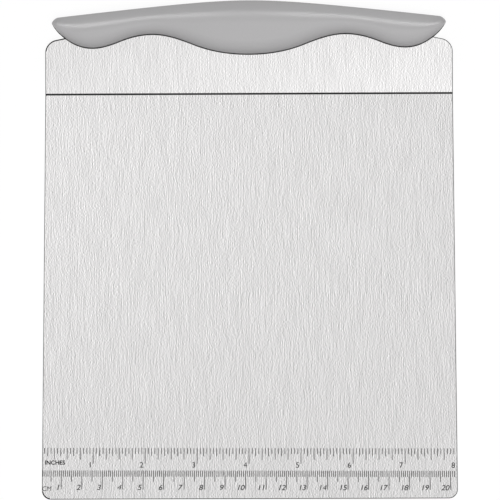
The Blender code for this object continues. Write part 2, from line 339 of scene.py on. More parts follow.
def score_and_bend(bm, blade):
    """Score the crease into the upper face, then fold the flange about the mid-plane."""
    crease = blade.length / 2
    lines = [step * blade.crease_width for step in SCORE_STEPS]
    for offset in lines + [-BEND_MARGIN, BEND_MARGIN]:
        geometry = bm.verts[:] + bm.edges[:] + bm.faces[:]
        bmesh.ops.bisect_plane(bm, geom=geometry, dist=SAME_PLACE,
                               plane_co=(0, crease + offset, 0), plane_no=(0, 1, 0))
    half = blade.crease_width / 2
    for vert in bm.verts:
        across = abs(vert.co.y - crease) / half
        if across < 1 and vert.co.z > 0:
            share = vert.co.z / (blade.thickness / 2)
            vert.co.z -= blade.crease_depth * share * math.cos(across * math.pi / 2)
    for face in bm.faces:
        middle = face.calc_center_median()
        if abs(middle.y - crease) < half and face.normal.z > FACING_UP:
            # The groove's upper faces take the crease's painted shade
            face.material_index = CREASE
            for edge in face.edges:
                if all(abs(v.co.y - crease) > half - SAME_PLACE for v in edge.verts):
                    edge.smooth = False
    flange = [vert for vert in bm.verts if vert.co.y > crease + SAME_PLACE]
    bmesh.ops.rotate(bm, verts=flange, cent=(0, crease, 0),
                     matrix=Matrix.Rotation(blade.bend_angle, 3, "X"))


def rim_slot(face):
    """Material of a face of the unbent sheet: brushed, straight rim or rounded corner.

    At the left corners the painted dark reflection also reaches the narrow ring inside the rim.
    """
    level = abs(face.normal.z) > LEVEL
    on_left = face.calc_center_median().x < 0
    if level and (not on_left or face.calc_area() > LARGEST_SHADE_RING_FACE):
        return BRUSHED
    outline = max(face.edges, key=lambda edge: edge.calc_length())
    run = outline.verts[1].co - outline.verts[0].co
    low, high = sorted((abs(run.x), abs(run.y)))
    if low < high * (LEFT_CORNER_SHARE if on_left else RIGHT_CORNER_SHARE):
        return BRUSHED if level else RIM
    return LEFT_CORNER_DARK_REFLECTION if on_left else RIGHT_CORNER_DARK_REFLECTION


def build_blade(blade, grip, materials):
    """One sheet with a tumbled rim, punched tang, scored crease and raised flange."""
    top = tang_top(blade, grip)
    bm = unbent_sheet(blade, top, blade.thickness)
    rim = [e for e in bm.edges if abs(e.verts[0].co.z - e.verts[1].co.z) < SAME_PLACE]
    bmesh.ops.bevel(bm, geom=rim, offset=blade.rim_round, segments=RIM_SEGMENTS,
                    profile=0.5, affect="EDGES", material=-1, clamp_overlap=True)
    upper = max(bm.faces, key=lambda face: face.normal.z * face.calc_area())
    bmesh.ops.inset_region(bm, faces=[upper], thickness=SHADE_RING_WIDTH, use_even_offset=True)
    piece = make_piece("blade_sheet", bm, materials, "blade_steel")
    punch_stud_holes(piece, top)
    bm = bmesh.new()
    bm.from_mesh(piece.data)
    bm.normal_update()
    for face in bm.faces:
        face.material_index = rim_slot(face)
        face.smooth = True
    uv = bm.loops.layers.uv.new(UV_NAME)
    for face in bm.faces:
        for loop in face.loops:
            loop[uv].uv = loop.vert.co.xy / blade.length
    score_and_bend(bm, blade)
    bmesh.ops.translate(bm, verts=bm.verts[:], vec=(0, 0, blade.thickness / 2))
    bm.to_mesh(piece.data)
    bm.free()
    soften = piece.modifiers.new("flat_faces", "WEIGHTED_NORMAL")
    soften.mode = "FACE_AREA"
    soften.keep_sharp = True
    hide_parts("blade")


# Soft grip

TOP_BOW = 30.0 * MM
TOP_TAPER = 0.1175
CENTRE_LOBE_DROP = 27.2 * MM
CREST_X = 48.0 * MM
CREST_DROP = 14.0 * MM
OUTER_LOBE_SETBACK = 20.2 * MM
OUTER_LOBE_DROP = 17.6 * MM
TIP_DROP = 3.7 * MM
INNER_FLANK_SHARE = 0.58
OUTER_FLANK_SHARE = 0.54
FLANK_SLOPE = 0.4
TIP_SLOPE = 1.25
TIP_ROUND = 3.2 * MM
TIP_LEAN = 0.7
BAND_WIDTH = 7.4 * MM
BAND_SHARE = 0.46
BAND_FOOT = 0.3
LIP_HEIGHT = 0.8
SEAT_SHARE = 0.1
FULLNESS_POWER = 0.35
BACK_SHARE = 0.42
EDGE_REACH = 1.4 * MM
EDGE_LIMITS = (0.8, 0.3)
RIDGE_REACH = 4.2 * MM
RIDGE_LIMITS = (0.6, 0.34)
LIP_REACH = 7.0 * MM
LIP_LIMITS = (0.66, 0.97)
BACK_ROUND = 0.55
HEEL_WIDTH = 0.6 * MM
HEEL_SHARE = 0.1
SEAT_GAP = 0.05 * MM
SKIN_WALL = 2.0 * MM
FIT_GAP = 0.3 * MM
ROOM_HALF_LENGTH = 86.3 * MM
ROOM_END_ROUND = 5.3 * MM
ROOM_STATIONS = 61
LAST_TURN = math.radians(89.2)
SHARP_ANGLE = math.radians(40)
EDGE_STEPS = 5
RIDGE_STEPS = 10
LIP_STEPS = 14
BACK_STEPS = 12
# Place of the heel's two points in a section, after its foot and three rounded corners
HEEL_PLACE = 1 + (EDGE_STEPS + 1) + (RIDGE_STEPS + 1) + (LIP_STEPS + 1)


def upper_edge(grip, x):
    """Height of the bowed top edge: round in the middle, straight towards the tips."""
    return grip.top_height - TOP_TAPER * (math.hypot(x, TOP_BOW) - TOP_BOW)


def wave_points(grip):
    """Lobes, crests and flanks of the lower edge, as (x, height, slope)."""
    outer_lobe_x = grip.half_length - OUTER_LOBE_SETBACK
    centre = upper_edge(grip, 0.0) - CENTRE_LOBE_DROP
    crest = upper_edge(grip, CREST_X) - CREST_DROP
    outer = upper_edge(grip, outer_lobe_x) - OUTER_LOBE_DROP
    tip = upper_edge(grip, grip.half_length) - TIP_DROP
    outer_flank_x = CREST_X + (outer_lobe_x - CREST_X) * OUTER_FLANK_SHARE
    return [
        (0.0, centre, 0.0),
        (CREST_X * INNER_FLANK_SHARE, (centre + crest) / 2, FLANK_SLOPE),
        (CREST_X, crest, 0.0),
        (outer_flank_x, (crest + outer) / 2, -FLANK_SLOPE),
        (outer_lobe_x, outer, 0.0),
        (grip.half_length, tip, TIP_SLOPE),
    ]


def lower_edge(grip, x):
    """Height of the waved lower edge, where the grip meets the blade."""
    points = wave_points(grip)
    for left, right in zip(points, points[1:]):
        if abs(x) <= right[0]:
            span = right[0] - left[0]
            t = (abs(x) - left[0]) / span
            rise = 3 * t ** 2 - 2 * t ** 3
            level = left[1] * (1 - rise) + right[1] * rise
            lean = left[2] * (t - 2 * t ** 2 + t ** 3) + right[2] * (t ** 3 - t ** 2)
            return level + lean * span
    return points[-1][1]


def soft_minimum(first, second):
    """The smaller of two lengths, with a soft change from one to the other."""
    return (first ** -6 + second ** -6) ** (-1 / 6)


def rounded(before, corner, after, reach, limits, steps):
    """Points that round a corner over a reach that takes a limited share of both sides.

    The curve is an arc of a circle where it reaches equally far along both sides.
    """
    back, ahead = before - corner, after - corner
    weight = math.sin(back.angle(ahead) / 2)
    start = corner + back.normalized() * soft_minimum(reach, back.length * limits[0])
    finish = corner + ahead.normalized() * soft_minimum(reach, ahead.length * limits[1])
    points = []
    for step in range(steps + 1):
        t = step / steps
        near, middle, far = (1 - t) ** 2, 2 * weight * t * (1 - t), t ** 2
        points.append((start * near + corner * middle + finish * far) / (near + middle + far))
    return points


def quarter(edge, spine, steps):
    """Quarter of the back, square to the flange at its edge and level at its spine."""
    first = Vector((edge.x, edge.y + (spine.y - edge.y) * BACK_ROUND))
    second = Vector((spine.x + (edge.x - spine.x) * BACK_ROUND, spine.y))
    points = []
    for step in range(1, steps):
        t = step / steps
        near = edge * (1 - t) ** 3 + first * 3 * t * (1 - t) ** 2
        far = second * 3 * t ** 2 * (1 - t) + spine * t ** 3
        points.append(near + far)
    return points


def grip_section(sheet, grip, x, inset, half_length, end_round):
    """Closed section at x: sloping band, ridge, flat face and round lip, softer back.

    The outer form also has a heel, a small step where the lip meets the steel.
    """
    past = max(0.0, abs(x) - (half_length - end_round))
    closing = math.sqrt(max(0.0, 1 - (past / end_round) ** 2))
    top_line, low_line = upper_edge(grip, x) - inset, lower_edge(grip, x) + inset
    reach = (top_line - low_line) * closing
    height = top_line - low_line + 2 * inset
    fullness = math.sqrt(closing) * (height / CENTRE_LOBE_DROP) ** FULLNESS_POWER
    front = grip.front_depth * fullness - inset * closing
    back = grip.rear_depth * fullness - inset * closing
    scale = front / grip.front_depth
    top = top_line - (top_line - low_line - reach) * TIP_LEAN
    low = top - reach
    heel = 0.0 if inset else soft_minimum(HEEL_WIDTH, HEEL_SHARE * reach)
    band = soft_minimum(BAND_SHARE * reach, BAND_WIDTH)
    top_foot, low_foot = Vector((top, 0.0)), Vector((low + heel, 0.0))
    shoulder = Vector((top, front * BAND_FOOT))
    ridge = Vector((top - band, front))
    lip = Vector((low + heel, front * LIP_HEIGHT))
    spine = Vector((top - reach * BACK_SHARE, -back))
    loop = [top_foot]
    loop += rounded(top_foot, shoulder, ridge, EDGE_REACH * scale, EDGE_LIMITS, EDGE_STEPS)
    loop += rounded(shoulder, ridge, lip, RIDGE_REACH * scale, RIDGE_LIMITS, RIDGE_STEPS)
    loop += rounded(ridge, lip, low_foot, LIP_REACH, LIP_LIMITS, LIP_STEPS)
    if heel:
        seat = min(sheet.thickness / 2, SEAT_SHARE * front)
        loop += [Vector((low + heel, seat + heel)), Vector((low, seat))]
        low_foot = Vector((low, 0.0))
    loop += [low_foot] + quarter(low_foot, spine, BACK_STEPS)
    loop += [spine] + quarter(top_foot, spine, BACK_STEPS)[::-1]
    return [Vector((x, point.x, point.y)) for point in loop]


def loft_grip(sheet, grip, inset, half_length, end_round, stations):
    """Loft the sections from tip to tip, closer together towards the rounded tips."""
    bm = bmesh.new()
    rings = []
    heel = set()
    for index in range(stations):
        x = half_length * math.sin(LAST_TURN * (2 * index / (stations - 1) - 1))
        points = grip_section(sheet, grip, x, inset, half_length, end_round)
        verts = [bm.verts.new(point) for point in points]
        rings.append([bm.edges.new((verts[i - 1], verts[i])) for i in range(len(verts))])
        heel.update(verts[HEEL_PLACE:HEEL_PLACE + 2])
    for left, right in zip(rings, rings[1:]):
        bmesh.ops.bridge_loops(bm, edges=left + right)
    for end in (rings[0], rings[-1]):
        bmesh.ops.contextual_create(bm, geom=end)
    for face in bm.faces:
        # The heel's faces take the lip's painted shadow
        face.material_index = 1 if not inset and heel.issuperset(face.verts) else 0
    bmesh.ops.recalc_face_normals(bm, faces=bm.faces[:])
    return bm


def build_grip(blade, grip, materials):
    """The soft skin: one closed loft, with room inside for the core and the tang."""
    bm = loft_grip(blade, grip, 0.0, grip.half_length, TIP_ROUND, grip.stations)
    piece = make_piece("soft_grip", bm, materials, "grip_rubber")
    room = loft_grip(blade, grip, SKIN_WALL, ROOM_HALF_LENGTH, ROOM_END_ROUND, ROOM_STATIONS)
    cut_away(piece, make_piece("core_room", room, [], None))
    space = unbent_sheet(blade, tang_top(blade, grip) + FIT_GAP, blade.thickness + 2 * SEAT_GAP)
    bmesh.ops.translate(space, verts=space.verts[:], vec=(0, -blade.length / 2, 0))
    cut_away(piece, make_piece("sheet_space", space, [], None))
    piece.data.transform(flange_place(blade))
    piece.data.shade_smooth()
    piece.data.set_sharp_from_angle(angle=SHARP_ANGLE)
    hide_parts("grip_skin")


# Etched ruler

TICK_BEDDING = 0.01 * MM
ETCH_STRETCH = 1.0014
RULER_MIDDLE = 19.5 * MM
# Measured back from the front edge. The larger its part, the lower a tick ends.
INCH_SCALE_TOP = 25.0 * MM
INCH_TICK_ENDS = {16: 17.3 * MM, 8: 19.3 * MM, 4: 19.3 * MM, 2: 21.0 * MM, 1: 22.1 * MM}
LAST_SIXTEENTH = 127
SHORT_EIGHTH = 14
CM_SCALE_TOP = 13.9 * MM
CM_TICK_ENDS = {10: 4.6 * MM, 5: 8.4 * MM, 1: 10.85 * MM}
LAST_MILLIMETRE = 202
NUMBER_WEIGHT = 0.006
FOUR_WEIGHT = -0.004
NUMBER_SPACING = 0.93
ONE_GAP = 0.35 * MM
PAIR_SHIFT = 0.3 * MM
LETTER_ROUNDNESS = 6
UPRIGHT = 0.0
ITALIC = 0.21
INCH_NUMBERS = {
    "gap": 0.8 * MM, "height": 2.7 * MM, "base": 15.35 * MM, "stretch": 1.0, "shear": UPRIGHT}
INCH_WORD = {
    "text": "INCHES", "height": 2.15 * MM, "base": 16.7 * MM, "stretch": 1.035,
    "weight": 0.03, "shear": UPRIGHT, "left": -100.2 * MM}
CM_NUMBERS = {
    "gap": 0.5 * MM, "height": 2.6 * MM, "base": 4.3 * MM, "stretch": 1.13, "shear": ITALIC}
CM_WORD = {
    "text": "CM", "height": 2.3 * MM, "base": 3.8 * MM, "stretch": 0.93,
    "weight": 0.0, "shear": ITALIC, "left": -101.3 * MM}


def add_tick(bm, blade, ruler, x, near, far):
    """Add one etched line, from near to far as measured back from the front edge."""
    depth = ruler.mark_height + TICK_BEDDING
    front = -blade.length / 2
    middle = Vector((x, front + (near + far) / 2, blade.thickness - TICK_BEDDING + depth / 2))
    size = Matrix.Diagonal((ruler.tick_width, far - near, depth, 1.0))
    bmesh.ops.create_cube(bm, size=1.0, matrix=Matrix.Translation(middle) @ size)


def turn_on_sheet(bm, blade, ruler):
    """Turn the finished marks about the middle of the ruler."""
    middle = Vector((0, RULER_MIDDLE - blade.length / 2, 0))
    bmesh.ops.rotate(bm, verts=bm.verts[:], cent=middle,
                     matrix=Matrix.Rotation(ruler.turn, 3, "Z"))
    return bm


def inch_ticks(blade, ruler):
    """Sixteenths of an inch, with longer lines at the larger parts."""
    bm = bmesh.new()
    start = ruler.inch_zero - blade.width / 2
    for count in range(1, LAST_SIXTEENTH + 1):
        size = 1 if count % 16 == SHORT_EIGHTH else math.gcd(count, 16)
        x = start + count * INCH / 16 * ETCH_STRETCH
        add_tick(bm, blade, ruler, x, INCH_TICK_ENDS[size], INCH_SCALE_TOP)
    return bm


def centimetre_ticks(blade, ruler):
    """Millimetres, with longer lines at the fives and the tens."""
    bm = bmesh.new()
    start = ruler.centimetre_zero - blade.width / 2
    for count in range(1, LAST_MILLIMETRE + 1):
        size = 10 if count % 10 == 0 else 5 if count % 5 == 0 else 1
        x = start + count * MM * ETCH_STRETCH
        add_tick(bm, blade, ruler, x, CM_TICK_ENDS[size], CM_SCALE_TOP)
    return bm


def add_lettering(bm, blade, ruler, text, height, base, stretch, weight, shear, left=None,
                  right=None):
    """Add a word or number as a mesh, scaled and placed by its left or right."""
    curve = bpy.data.curves.new("lettering", "FONT")
    curve.body = text
    curve.shear = shear
    curve.offset = weight
    curve.space_character = NUMBER_SPACING if text.isdigit() else 1.0
    curve.extrude = 0.5  # 1 thick in all, for the depth to scale
    curve.resolution_u = LETTER_ROUNDNESS
    carrier = bpy.data.objects.new("lettering", curve)
    bpy.context.scene.collection.objects.link(carrier)
    depsgraph = bpy.context.evaluated_depsgraph_get()
    mesh = bpy.data.meshes.new_from_object(carrier.evaluated_get(depsgraph))
    bpy.data.objects.remove(carrier, do_unlink=True)
    low = Vector([min(v.co[i] for v in mesh.vertices) for i in range(3)])
    high = Vector([max(v.co[i] for v in mesh.vertices) for i in range(3)])
    scale = height / (high.y - low.y)
    across = scale * stretch
    depth = ruler.mark_height + TICK_BEDDING
    if left is None:
        left = right - (high.x - low.x) * across
    place = Vector((left, base - blade.length / 2, blade.thickness - TICK_BEDDING))
    size = Matrix.Diagonal((across, scale, depth, 1.0))
    mesh.transform(Matrix.Translation(place) @ size @ Matrix.Translation(-low))
    bm.from_mesh(mesh)
    bpy.data.meshes.remove(mesh)


def add_number(bm, blade, ruler, number, tick, gap, height, base, stretch, shear):
    """Add a number left of its tick. A one stands further off, a pair of digits nearer."""
    text = str(number)
    weight = FOUR_WEIGHT if "4" in text else NUMBER_WEIGHT
    right = tick - gap - ONE_GAP * text.endswith("1") + PAIR_SHIFT * (len(text) - 1)
    add_lettering(bm, blade, ruler, text, height, base, stretch, weight, shear, right=right)


def scale_lettering(blade, ruler, zero, last, pitch, numbers, word):
    """Numbers 1 to the last, each left of its tick, and the unit word."""
    bm = bmesh.new()
    start = zero - blade.width / 2
    for number in range(1, last + 1):
        add_number(bm, blade, ruler, number, start + number * pitch, **numbers)
    add_lettering(bm, blade, ruler, **word)
    bmesh.ops.remove_doubles(bm, verts=bm.verts[:], dist=SAME_PLACE)
    return bm


def inch_lettering(blade, ruler):
    """Upright numbers 1 to 8 and the unit word."""
    return scale_lettering(blade, ruler, ruler.inch_zero, 8, INCH, INCH_NUMBERS, INCH_WORD)


def centimetre_lettering(blade, ruler):
    """Italic numbers 1 to 20 and the unit word."""
    return scale_lettering(blade, ruler, ruler.centimetre_zero, 20, 10 * MM, CM_NUMBERS,
                           CM_WORD)


# Materials

# Real brushing lines are under 0.1 mm wide. They are drawn wider so that they show.
GRAIN_WIDTH = 0.27 * MM
# Colour contrast of the hairs: real grain, plus their painted lit and shaded flanks
GRAIN_CONTRAST = 0.182
# Length and weight of each layer's hairs
GRAIN_LAYERS = ((0.9 * MM, 0.68), (2.2 * MM, 0.38), (7.0 * MM, 0.36), (22.0 * MM, 0.3))
# Spacing and reach of the bends that the hairs follow
GRAIN_WANDER = ((12.0 * MM, 0.6 * MM), (3.0 * MM, 0.08 * MM))
# Distance between a hair's painted lit flank and its painted shaded flank
HAIR_SPACING = 0.45 * MM
HAIR_RANGE = 0.15
HAIR_ROUGHNESS = (0.33, 0.27)
HAIR_BUMP = 0.1
HAIR_RELIEF = 0.01 * MM
BRUSHED_ANISOTROPY = 0.6
FLANGE_GRAIN = 0.7
# Painted reflection: the steel's colour is lighter behind the blade's middle and darker at its
# front edge
PAINTED_FALLOFF_CENTRE = 45.0 * MM
PAINTED_FALLOFF_REACH = 150.0 * MM
PAINTED_FALLOFF_TONES = (1.028, 0.958)
PATCH_WIDTH = 4.5 * MM
PATCH_LENGTH = 18.0 * MM
PATCH_TONES = (0.967, 1.033)
# Most of a noise's values lie between these
NOISE_LOW, NOISE_HIGH = 0.3, 0.7
SPECKLE_BUMP = 0.3
SPECKLE_GLOSS = (1.12, 0.9)


def wandering_place(tree, place):
    """The piece's own coordinates, shifted a little across the blade so that hairs bend."""
    for spacing, reach in GRAIN_WANDER:
        noise = add_node(tree, "ShaderNodeTexNoise", {"Scale": 1 / spacing, "Detail": 1.0},
                         {"Vector": place})
        shift = add_node(tree, "ShaderNodeMapRange",
                         {"From Min": 0.0, "From Max": 1.0,
                          "To Min": -reach / 2, "To Max": reach / 2},
                         {"Value": noise.outputs["Fac"]})
        aside = add_node(tree, "ShaderNodeCombineXYZ", {}, {"X": shift.outputs[0]})
        place = add_node(tree, "ShaderNodeVectorMath", {}, {0: place, 1: aside.outputs[0]},
                         operation="ADD").outputs[0]
    return place


def hair_heights(tree, place):
    """Sum of long, middling and short hairs that all run front to back."""
    total = None
    for length, weight in GRAIN_LAYERS:
        along = add_node(tree, "ShaderNodeMapping",
                         {"Location": (length, 0.0, 0.0),
                          "Scale": (1 / GRAIN_WIDTH, 1 / length, 1 / length)},
                         {"Vector": place})
        noise = add_node(tree, "ShaderNodeTexNoise", {"Scale": 1.0, "Detail": 0.0},
                         {"Vector": along.outputs[0]})
        layer = add_node(tree, "ShaderNodeMath", {1: weight}, {0: noise.outputs["Fac"]},
                         operation="MULTIPLY")
        if total is None:
            total = layer
        else:
            total = add_node(tree, "ShaderNodeMath", {},
                             {0: total.outputs[0], 1: layer.outputs[0]}, operation="ADD")
    return total.outputs[0]


def brushed_hairs(tree, place):
    """Each hair is a groove with a painted lit flank and a painted shaded flank side by side, 0 on
    average.
    """
    beside = add_node(tree, "ShaderNodeVectorMath", {1: (HAIR_SPACING, 0.0, 0.0)}, {0: place},
                      operation="ADD")
    light, dark = hair_heights(tree, place), hair_heights(tree, beside.outputs[0])
    return add_node(tree, "ShaderNodeMath", {}, {0: light, 1: dark},
                    operation="SUBTRACT").outputs[0]


def fainter_on_flange(tree, hairs, along, blade):
    """The hairs, made fainter on the flange behind the crease."""
    crease = blade.length / 2
    share = add_node(tree, "ShaderNodeMapRange",
                     {"From Min": crease, "From Max": crease + blade.crease_width,
                      "To Min": 1.0, "To Max": FLANGE_GRAIN},
                     {"Value": along})
    return add_node(tree, "ShaderNodeMath", {}, {0: hairs, 1: share.outputs[0]},
                    operation="MULTIPLY").outputs[0]


def soft_swell(tree, along):
    """Painted reflection: a factor a little over 1 behind the blade's middle, and lowest at its
    front edge, so the steel is lighter to the rear and darker at the front.
    """
    share = add_node(tree, "ShaderNodeMath",
                     {1: 1 / PAINTED_FALLOFF_REACH, 2: -PAINTED_FALLOFF_CENTRE / PAINTED_FALLOFF_REACH}, {0: along},
                     operation="MULTIPLY_ADD")
    square = add_node(tree, "ShaderNodeMath", {}, {0: share.outputs[0], 1: share.outputs[0]},
                      operation="MULTIPLY")
    return add_node(tree, "ShaderNodeMapRange",
                    {"From Min": 0.0, "From Max": 1.0,
                     "To Min": PAINTED_FALLOFF_TONES[0], "To Max": PAINTED_FALLOFF_TONES[1]},
                    {"Value": square.outputs[0]}).outputs[0]


def uneven_brushing(tree, place):
    """Factor around 1 that drifts in soft patches, since brushing by hand isn't even."""
    stretched = add_node(tree, "ShaderNodeMapping",
                         {"Scale": (1 / PATCH_WIDTH, 1 / PATCH_LENGTH, 1 / PATCH_LENGTH)},
                         {"Vector": place})
    noise = add_node(tree, "ShaderNodeTexNoise", {"Scale": 1.0, "Detail": 2.0},
                     {"Vector": stretched.outputs[0]})
    return add_node(tree, "ShaderNodeMapRange",
                    {"From Min": NOISE_LOW, "From Max": NOISE_HIGH,
                     "To Min": PATCH_TONES[0], "To Max": PATCH_TONES[1]},
                    {"Value": noise.outputs["Fac"]}).outputs[0]


def brushed_stainless_steel(blade):
    """Stainless sheet brushed front to back.

    The eye sees pale satin metal, fine soft hairs and reflections spread across them. Its colour
    also holds painted light: a lit and a shaded flank on each hair, a lighter rear and a darker
    front edge.
    """
    material, tree, shader = new_material("stainless_steel_brushed")
    place = add_node(tree, "ShaderNodeTexCoord").outputs["Object"]
    along = add_node(tree, "ShaderNodeSeparateXYZ", {}, {0: place}).outputs["Y"]
    hairs = brushed_hairs(tree, wandering_place(tree, place))
    hairs = fainter_on_flange(tree, hairs, along, blade)
    # Colour from the hairs: grain, with each hair's painted lit and shaded flanks
    tone = add_node(tree, "ShaderNodeMapRange",
                    {"From Min": -HAIR_RANGE, "From Max": HAIR_RANGE,
                     "To Min": 1 - GRAIN_CONTRAST, "To Max": 1 + GRAIN_CONTRAST},
                    {"Value": hairs}, clamp=False)
    # The grain's tone times the painted reflection, lighter to the rear and darker at the front
    grain_and_painted_falloff = add_node(tree, "ShaderNodeMath", {},
                     {0: tone.outputs[0], 1: soft_swell(tree, along)}, operation="MULTIPLY")
    uneven = add_node(tree, "ShaderNodeMath", {},
                      {0: grain_and_painted_falloff.outputs[0], 1: uneven_brushing(tree, place)},
                      operation="MULTIPLY")
    colour = add_node(tree, "ShaderNodeVectorMath", {0: blade.steel_colour[:3]},
                      {"Scale": uneven.outputs[0]}, operation="SCALE")
    gloss = add_node(tree, "ShaderNodeMapRange",
                     {"From Min": -HAIR_RANGE, "From Max": HAIR_RANGE,
                      "To Min": HAIR_ROUGHNESS[0], "To Max": HAIR_ROUGHNESS[1]},
                     {"Value": hairs})
    bump = add_node(tree, "ShaderNodeBump", {"Strength": HAIR_BUMP, "Distance": HAIR_RELIEF},
                    {"Height": hairs})
    brushing = add_node(tree, "ShaderNodeTangent", direction_type="UV_MAP", uv_map=UV_NAME)
    shader.inputs["Metallic"].default_value = 1.0
    shader.inputs["Anisotropic"].default_value = BRUSHED_ANISOTROPY
    tree.links.new(colour.outputs[0], shader.inputs["Base Color"])
    tree.links.new(gloss.outputs[0], shader.inputs["Roughness"])
    tree.links.new(bump.outputs[0], shader.inputs["Normal"])
    tree.links.new(brushing.outputs[0], shader.inputs["Tangent"])
    return material


def mottled_finish(name, colour, metallic, roughness, grain, spread, relief=0.01 * MM,
                   specular=0.5):
    """A finish whose even fine grain varies its colour, by the spread, its gloss and height."""
    material, tree, shader = new_material(name)
    place = add_node(tree, "ShaderNodeTexCoord").outputs["Object"]
    speckle = add_node(tree, "ShaderNodeTexNoise", {"Scale": 1 / grain, "Detail": 3.0},
                       {"Vector": place})
    tone = add_node(tree, "ShaderNodeMapRange",
                    {"From Min": NOISE_LOW, "From Max": NOISE_HIGH,
                     "To Min": 1 - spread, "To Max": 1 + spread},
                    {"Value": speckle.outputs["Fac"]})
    tint = add_node(tree, "ShaderNodeVectorMath", {0: colour[:3]},
                    {"Scale": tone.outputs[0]}, operation="SCALE")
    gloss = add_node(tree, "ShaderNodeMapRange",
                     {"From Min": NOISE_LOW, "From Max": NOISE_HIGH,
                      "To Min": roughness * SPECKLE_GLOSS[0],
                      "To Max": roughness * SPECKLE_GLOSS[1]},
                     {"Value": speckle.outputs["Fac"]})
    bump = add_node(tree, "ShaderNodeBump", {"Strength": SPECKLE_BUMP, "Distance": relief},
                    {"Height": speckle.outputs["Fac"]})
    shader.inputs["Metallic"].default_value = metallic
    shader.inputs["Specular IOR Level"].default_value = specular
    tree.links.new(tint.outputs[0], shader.inputs["Base Color"])
    tree.links.new(gloss.outputs[0], shader.inputs["Roughness"])
    tree.links.new(bump.outputs[0], shader.inputs["Normal"])
    return material


def tumbled_stainless_steel(place, colour):
    """A steel edge tumbled smooth: to the eye a soft grey line, a little speckled. Its dark colour
    is partly the edge's duller steel and partly painted dark reflection.
    """
    return mottled_finish("stainless_steel_tumbled_" + place, colour, metallic=1.0,
                          roughness=0.45, grain=0.6 * MM, spread=0.1)


def scored_stainless_steel(blade):
    """A rough scored groove that gives almost no shine; its dark colour is painted shade in the
    crease.
    """
    return mottled_finish("stainless_steel_scored_painted_shade", blade.crease_colour, metallic=0.6,
                          roughness=0.6, grain=0.4 * MM, spread=0.15)


def etched_oxide(blade):
    """Black iron oxide left by etching: flat, matt, slightly uneven, with no sheen."""
    return mottled_finish("iron_oxide_etched_matt", blade.mark_colour, metallic=0.0,
                          roughness=0.8, grain=0.3 * MM, spread=0.15, relief=0.005 * MM,
                          specular=0.2)


def satin_elastomer(grip):
    """Moulded soft-touch rubber: an even grey with a wide soft highlight along its ridge."""
    return mottled_finish("soft_touch_elastomer_satin", grip.rubber_colour, metallic=0.0,
                          roughness=0.35, grain=0.35 * MM, spread=0.03)


def dark_lip_elastomer(grip):
    """The same rubber at its thin edge on the steel, dull, with its contact shadow painted in as a
    near-black colour.
    """
    return mottled_finish("soft_touch_elastomer_painted_shadow_lip", grip.lip_colour, metallic=0.0,
                          roughness=0.7, grain=0.35 * MM, spread=0.1)


def moulded_polypropylene(grip):
    """Matt moulded polypropylene: plain mid grey, faintly textured."""
    return mottled_finish("polypropylene_moulded_matt", grip.core_colour, metallic=0.0,
                          roughness=0.5, grain=0.5 * MM, spread=0.04)


# Stage

# Camera angles in radians
CAMERA_TILT = 0.19245
CAMERA_YAW = 0.04855
CAMERA_ROLL = -0.00198
CAMERA_DISTANCE = 1.83288
CAMERA_AIM = Vector((0.00033, 0.02236, 0.0))
LENS = 266.7
SENSOR_WIDTH = 36.0
FARTHEST_SEEN = 20.0
FLOOR_SIZE = 4.0
FLOOR_DROP = 0.05 * MM
SEEN_FLOOR_COLOUR = "#545454"
SEEN_FLOOR_LIFT = 0.92
# Each softbox's degrees to the right and to the rear of overhead, distance and size
KEY_SOFTBOX = ((3, -19), 2.0, (0.9, 0.9))
FRONT_SOFTBOX = ((11.3, -19), 2.0, (1.5, 1.1))
REAR_SOFTBOX = ((-20, 24), 2.0, (2.3, 1.3))
# Each ridge lamp's place along the grip, degrees to the right, and width
RIDGE_LAMPS = ((-0.072, -10, 0.08), (0.066, 8.5, 0.09))
RIDGE_BACK, RIDGE_UP = 0.135, 0.01
RIDGE_REARWARD = 41
RIDGE_LAMP_DISTANCE = 0.5
RIDGE_LAMP_DEPTH = 0.2


def add_camera():
    """Camera almost over the blade, tilted towards its front edge."""
    back = Vector((math.sin(CAMERA_YAW) * math.sin(CAMERA_TILT),
                   -math.cos(CAMERA_YAW) * math.sin(CAMERA_TILT), math.cos(CAMERA_TILT)))
    level = Vector((0, 1, 0)).cross(back).normalized()
    upright = back.cross(level)
    c, s = math.cos(CAMERA_ROLL), math.sin(CAMERA_ROLL)
    right = c * level + s * upright
    up = c * upright - s * level
    turn = Matrix((right, up, back)).transposed().to_4x4()
    data = bpy.data.cameras.new("camera")
    data.lens = LENS
    data.sensor_width = SENSOR_WIDTH
    data.clip_end = FARTHEST_SEEN
    camera = bpy.data.objects.new("camera", data)
    camera.matrix_world = Matrix.Translation(CAMERA_AIM + back * CAMERA_DISTANCE) @ turn
    bpy.context.scene.collection.objects.link(camera)
    bpy.context.scene.camera = camera


def add_softbox(name, aim, angles, distance, size, level, lights=True, reflected=True,
                only_on=None):
    """A soft lamp that faces its aim, placed by its angles from overhead and its distance.

    The angles lean it to the right and to the rear. Level 1 is as bright as white paper.
    """
    aside, rear = (math.radians(angle) for angle in angles)
    towards = Vector((math.sin(aside), math.cos(aside) * math.sin(rear),
                      math.cos(aside) * math.cos(rear)))
    data = bpy.data.lights.new(name, "AREA")
    data.shape = "RECTANGLE"
    data.size, data.size_y = size
    data.energy = level * size[0] * size[1] * math.pi
    lamp = bpy.data.objects.new(name, data)
    lamp.location = Vector(aim) + towards * distance
    lamp.rotation_euler = towards.to_track_quat("Z", "Y").to_euler()
    lamp.visible_diffuse = lights
    lamp.visible_glossy = reflected
    lamp.light_linking.receiver_collection = only_on
    bpy.context.scene.collection.objects.link(lamp)


